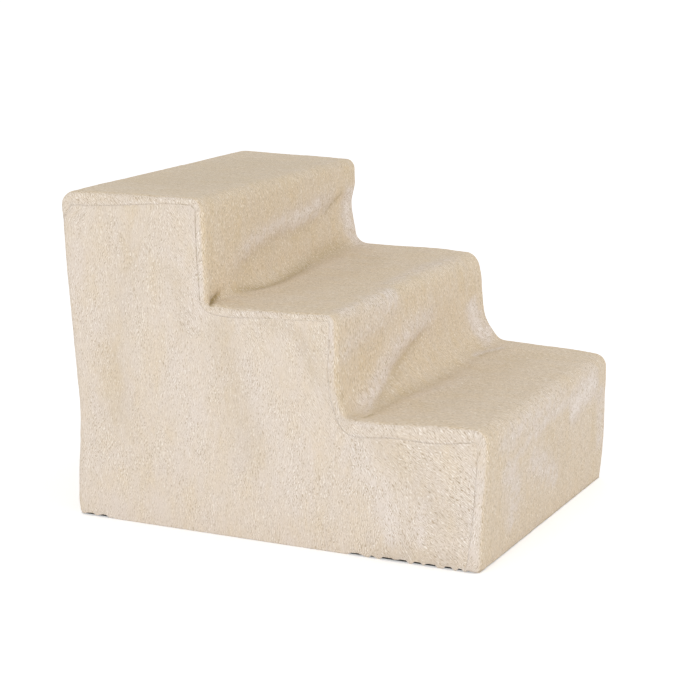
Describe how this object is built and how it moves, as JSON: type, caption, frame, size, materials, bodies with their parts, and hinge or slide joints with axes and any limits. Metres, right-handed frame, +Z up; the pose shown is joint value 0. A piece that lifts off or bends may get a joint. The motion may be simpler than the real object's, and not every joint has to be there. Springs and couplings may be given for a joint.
{
  "type": "pet stairs",
  "caption": "Stepped pet stairs: a knock-down ribbed plastic frame on rubber feet under a removable plush cover that is held by hook-and-loop tape and lifts straight off.",
  "frame": {"origin": "on the floor, under the middle of the stairs", "axes": "+Z up, the steps climb towards +Y, +X across the treads to the right of someone who climbs them"},
  "size_m": [0.352, 0.446, 0.334],
  "materials": {
    "plush": "short cream plush with crushed pile",
    "binding": "black woven binding",
    "loop_tape": "soft black loop tape",
    "hook_tape": "black hook tape",
    "dark_plastic": "fine-textured moulded polypropylene",
    "grey_plastic": "fine-textured moulded polypropylene",
    "foot_rubber": "matt",
    "screw_steel": "zinc plated"
  },
  "bodies": {
    "frame": {"side_panel_left": "dark_plastic", "side_panel_right": "dark_plastic", "tread_lower": "grey_plastic", "tread_middle": "grey_plastic", "tread_upper": "grey_plastic", "riser_lower": "grey_plastic", "riser_middle": "grey_plastic", "riser_upper": "grey_plastic", "back_panel": "grey_plastic", "floor_rail": "grey_plastic", "tread_screws": "screw_steel", "riser_screws": "screw_steel", "back_screws": "screw_steel", "rail_screws": "screw_steel", "foot_front_left": "foot_rubber", "foot_front_right": "foot_rubber", "foot_middle_left": "foot_rubber", "foot_middle_right": "foot_rubber", "foot_rear_left": "foot_rubber", "foot_rear_right": "foot_rubber", "hook_tape_left": "hook_tape", "hook_tape_right": "hook_tape", "hook_tape_front": "hook_tape", "hook_tape_rear": "hook_tape"},
    "cover": {"cover_step_strip": "plush", "cover_side_left": "plush", "cover_side_right": "plush", "hem_binding": "binding", "loop_tape_left": "loop_tape", "loop_tape_right": "loop_tape", "loop_tape_front": "loop_tape", "loop_tape_rear": "loop_tape"}
  },
  "joints": [
    {"name": "cover_lift", "type": "slide", "parent": "frame", "child": "cover", "axis": [0, 0, 1], "range_m": [0, 0.34]}
  ]
}
